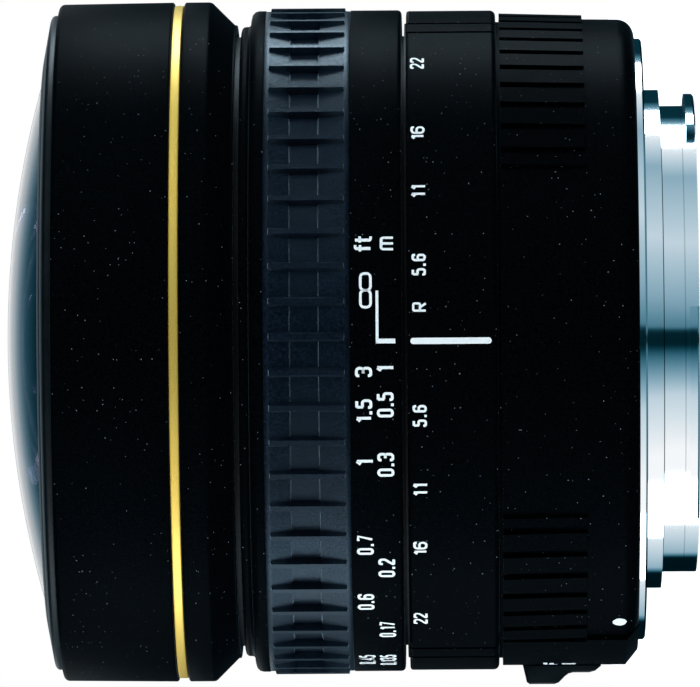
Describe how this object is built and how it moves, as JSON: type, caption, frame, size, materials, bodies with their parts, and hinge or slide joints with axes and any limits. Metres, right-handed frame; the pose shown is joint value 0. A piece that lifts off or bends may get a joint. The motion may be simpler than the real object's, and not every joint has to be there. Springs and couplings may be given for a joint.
{
  "type": "circular fisheye camera lens",
  "caption": "Wide fisheye camera lens with a domed front glass, ribbed focus ring, iris, focus mode switch and three-lug bayonet mount.",
  "frame": {"origin": "centre of the bayonet flange's seating face, on the optical axis", "axes": "+Z along the optical axis towards the front glass; the index line faces -Y and the focus mode switch faces -X"},
  "size_m": [0.074, 0.0734, 0.0742],
  "materials": {
    "satin_black": "fine matte powder coat on aluminium",
    "black_plastic": "matte moulded plastic",
    "switch_black": "smooth moulded plastic",
    "grip_rubber": "soft ribbed rubber",
    "gold_ring": "polished gold-coloured metal",
    "mount_chrome": "satin chromed brass",
    "steel": "plain steel",
    "glass": "coated optical glass",
    "inner_black": "black anodised aluminium",
    "brass": "plain brass",
    "board_green": "circuit board lacquer",
    "flex_amber": "flexible circuit film",
    "contact_gold": "gold-plated contacts",
    "blade_black": "blackened spring steel"
  },
  "bodies": {
    "barrel": {"mount_ring": "mount_chrome", "mount_screws": "steel", "rear_cover": "black_plastic", "filter_holder": "black_plastic", "contact_block": "black_plastic", "contact_pins": "contact_gold", "contact_flex": "flex_amber", "circuit_board": "board_green", "barrel_screws": "steel", "rear_body": "satin_black", "scale_ring": "satin_black", "main_barrel": "inner_black", "guide_tube": "inner_black", "front_barrel": "satin_black", "gold_band": "gold_ring", "front_bezel": "black_plastic", "front_element": "glass", "gear_plate": "steel", "gear_axles": "steel", "focus_motor": "steel"},
    "focus_ring": {"focus_ring": "satin_black", "rubber_grip": "grip_rubber", "focus_keys": "brass", "cam_tube": "inner_black", "ring_gear": "brass"},
    "focus_cell": {"cell_barrel": "inner_black", "second_element": "glass", "second_element_ring": "inner_black", "third_element": "glass", "fourth_element": "glass", "doublet_ring": "inner_black", "fifth_element": "glass", "sixth_element": "glass", "seventh_element": "glass", "triplet_ring": "inner_black", "eighth_element": "glass", "ninth_element": "glass", "tenth_element": "glass", "eleventh_element": "glass", "rear_lens_tube": "inner_black", "rear_spacer": "inner_black", "rear_ring": "inner_black", "cam_rollers": "brass", "iris_base": "inner_black", "iris_cover": "inner_black", "iris_cover_screws": "steel", "iris_motor": "steel"},
    "output_gear": {"output_gear": "brass"},
    "reduction_gear": {"reduction_gear": "brass"},
    "motor_pinion": {"motor_pinion": "brass"},
    "iris_ring": {"iris_ring": "inner_black"},
    "iris_pinion": {"iris_pinion": "brass"},
    "mode_switch": {"mode_switch": "switch_black", "switch_slider": "black_plastic"},
    "blade_1": {"blade_1": "blade_black"},
    "blade_2": {"blade_2": "blade_black"},
    "blade_3": {"blade_3": "blade_black"},
    "blade_4": {"blade_4": "blade_black"},
    "blade_5": {"blade_5": "blade_black"},
    "blade_6": {"blade_6": "blade_black"}
  },
  "joints": [
    {"name": "focus_turn", "type": "hinge", "parent": "barrel", "child": "focus_ring", "pos_m": [0, 0, 0.0345], "axis": [0, 0, 1], "range_deg": [0, 86]},
    {"name": "cell_slide", "type": "slide", "parent": "barrel", "child": "focus_cell", "axis": [0, 0, 1], "range_m": [0, 0.0018]},
    {"name": "output_spin", "type": "hinge", "parent": "barrel", "child": "output_gear", "pos_m": [0.01, 0.01732, 0.024], "axis": [0, 0, 1], "range_deg": [0, 775]},
    {"name": "reduction_spin", "type": "hinge", "parent": "barrel", "child": "reduction_gear", "pos_m": [0.00241, 0.01985, 0.0233], "axis": [0, 0, 1], "range_deg": [-2323, 0]},
    {"name": "motor_spin", "type": "hinge", "parent": "barrel", "child": "motor_pinion", "pos_m": [-0.00556, 0.01921, 0.0228], "axis": [0, 0, 1], "range_deg": [0, 6967]},
    {"name": "iris_turn", "type": "hinge", "parent": "focus_cell", "child": "iris_ring", "pos_m": [0, 0, 0.0323], "axis": [0, 0, 1], "range_deg": [0, 30]},
    {"name": "iris_pinion_spin", "type": "hinge", "parent": "focus_cell", "child": "iris_pinion", "pos_m": [-0.0082, -0.0142, 0.032], "axis": [0, 0, 1], "range_deg": [-216.1, 0]},
    {"name": "mode_slide", "type": "slide", "parent": "barrel", "child": "mode_switch", "axis": [0, 0, -1], "range_m": [0, 0.0022]},
    {"name": "blade_1_swing", "type": "hinge", "parent": "focus_cell", "child": "blade_1", "pos_m": [0.0109, 0, 0.0308], "axis": [0, 0, 1], "range_deg": [0, 24.41]},
    {"name": "blade_2_swing", "type": "hinge", "parent": "focus_cell", "child": "blade_2", "pos_m": [0.00545, 0.00944, 0.0308], "axis": [0, 0, 1], "range_deg": [0, 24.41]},
    {"name": "blade_3_swing", "type": "hinge", "parent": "focus_cell", "child": "blade_3", "pos_m": [-0.00545, 0.00944, 0.0308], "axis": [0, 0, 1], "range_deg": [0, 24.41]},
    {"name": "blade_4_swing", "type": "hinge", "parent": "focus_cell", "child": "blade_4", "pos_m": [-0.0109, 0, 0.0308], "axis": [0, 0, 1], "range_deg": [0, 24.41]},
    {"name": "blade_5_swing", "type": "hinge", "parent": "focus_cell", "child": "blade_5", "pos_m": [-0.00545, -0.00944, 0.0308], "axis": [0, 0, 1], "range_deg": [0, 24.41]},
    {"name": "blade_6_swing", "type": "hinge", "parent": "focus_cell", "child": "blade_6", "pos_m": [0.00545, -0.00944, 0.0308], "axis": [0, 0, 1], "range_deg": [0, 24.41]}
  ],
  "couplings": [
    {"joint": "cell_slide", "follows": "focus_turn", "m_per_rad": 0.001199},
    {"joint": "output_spin", "follows": "focus_turn", "ratio": 9},
    {"joint": "reduction_spin", "follows": "focus_turn", "ratio": -27},
    {"joint": "motor_spin", "follows": "focus_turn", "ratio": 81},
    {"joint": "iris_pinion_spin", "follows": "iris_turn", "ratio": -7.2},
    {"joint": "blade_1_swing", "follows": "iris_turn", "ratio": 0.81333},
    {"joint": "blade_2_swing", "follows": "iris_turn", "ratio": 0.81333},
    {"joint": "blade_3_swing", "follows": "iris_turn", "ratio": 0.81333},
    {"joint": "blade_4_swing", "follows": "iris_turn", "ratio": 0.81333},
    {"joint": "blade_5_swing", "follows": "iris_turn", "ratio": 0.81333},
    {"joint": "blade_6_swing", "follows": "iris_turn", "ratio": 0.81333}
  ]
}
